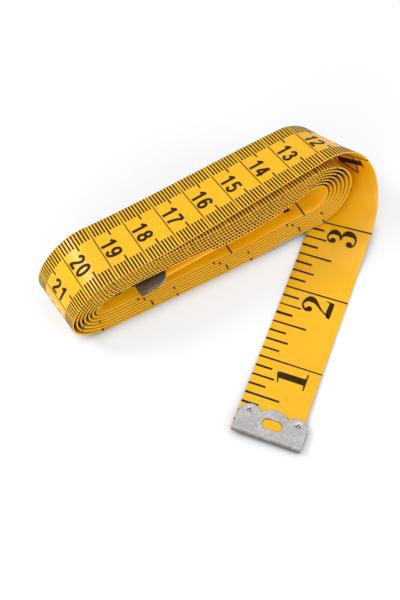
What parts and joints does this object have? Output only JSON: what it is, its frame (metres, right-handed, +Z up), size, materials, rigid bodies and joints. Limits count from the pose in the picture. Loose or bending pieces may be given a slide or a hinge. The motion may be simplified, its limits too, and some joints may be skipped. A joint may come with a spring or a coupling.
{
  "type": "cloth tape measure",
  "caption": "Soft printed measuring tape wound into a loose flat coil, its free end turned off and laid out flat, with a folded metal clip crimped over either end.",
  "frame": {"origin": "middle of the underside of the whole object's box, on the surface that it lies on", "axes": "+X along the coil toward the bend where the free end turns off, +Y from the free clip toward the coil, +Z up"},
  "size_m": [0.1042, 0.0824, 0.0286],
  "materials": {
    "tape": "satin",
    "clip": "satin"
  },
  "bodies": {
    "winding": {"wound_tape": "tape"},
    "free_end": {"free_end_tape": "tape", "free_end_clip": "clip"},
    "inner_end": {"inner_end_tape": "tape", "inner_end_clip": "clip"}
  },
  "joints": [
    {"name": "free_end_lift", "type": "hinge", "parent": "winding", "child": "free_end", "pos_m": [0.02519, 0.0047, 0.00022], "axis": [-0.628, 0.7782, 0], "range_deg": [0, 70]},
    {"name": "inner_end_flex", "type": "hinge", "parent": "winding", "child": "inner_end", "pos_m": [-0.00151, 0.02774, 0.01824], "axis": [0.0254, 0.9996, 0.0109], "range_deg": [-12, 4.5], "stiffness_Nm_per_rad": 0.006, "springref_deg": 6.52}
  ]
}
